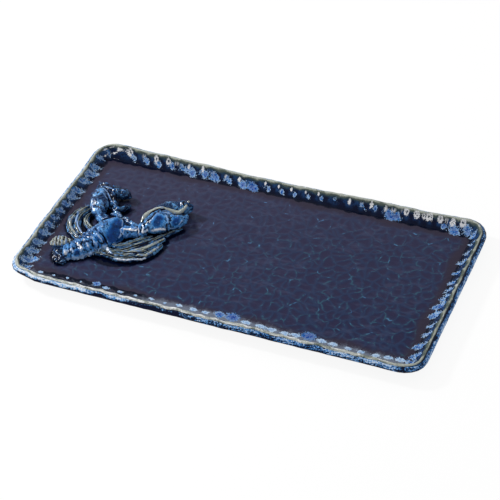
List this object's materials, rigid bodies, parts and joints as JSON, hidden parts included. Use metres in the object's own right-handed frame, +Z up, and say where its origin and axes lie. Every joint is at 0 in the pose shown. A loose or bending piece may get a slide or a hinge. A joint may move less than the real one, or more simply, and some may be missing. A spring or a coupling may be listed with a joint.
{
  "type": "decorative serving platter",
  "caption": "Long low rectangular platter in dark blue reactive glaze, with a rim of slanting notches and a modelled lobster lying in one end of the well.",
  "frame": {"origin": "middle of the flat face that the platter rests on", "axes": "+X along the platter, away from the lobster's end; +Y to the back long side, where the lobster's head points; +Z up"},
  "size_m": [0.356, 0.178, 0.023],
  "materials": {
    "floor_glaze": "gloss glaze, dark slate purple, crystalline",
    "rim_glaze": "gloss glaze, cream on the crest, running to blue",
    "blue_glaze": "gloss glaze, cobalt breaking to grey blue",
    "pale_glaze": "gloss glaze, pale grey blue",
    "cream_glaze": "gloss glaze, cream breaking to olive"
  },
  "bodies": {
    "root": {"base_slab": "floor_glaze", "rim_band": "rim_glaze", "carapace": "blue_glaze", "abdomen_segment_1": "blue_glaze", "abdomen_segment_2": "blue_glaze", "abdomen_segment_3": "blue_glaze", "abdomen_segment_4": "blue_glaze", "abdomen_segment_5": "blue_glaze", "abdomen_segment_6": "blue_glaze", "tail_fan_middle": "pale_glaze", "tail_fan_right_inner": "pale_glaze", "tail_fan_right_outer": "pale_glaze", "tail_fan_left_inner": "pale_glaze", "tail_fan_left_outer": "pale_glaze", "right_arm": "blue_glaze", "right_wrist": "blue_glaze", "right_palm": "blue_glaze", "right_fixed_finger": "cream_glaze", "right_moving_finger": "blue_glaze", "left_arm": "blue_glaze", "left_wrist": "pale_glaze", "left_palm": "blue_glaze", "left_fixed_finger": "blue_glaze", "left_moving_finger": "cream_glaze", "right_leg_1": "cream_glaze", "right_leg_2": "cream_glaze", "right_leg_3": "cream_glaze", "right_leg_4": "cream_glaze", "left_leg_1": "cream_glaze", "left_leg_2": "cream_glaze", "left_leg_3": "cream_glaze", "right_antenna": "pale_glaze", "left_antenna": "pale_glaze"}
  },
  "joints": []
}
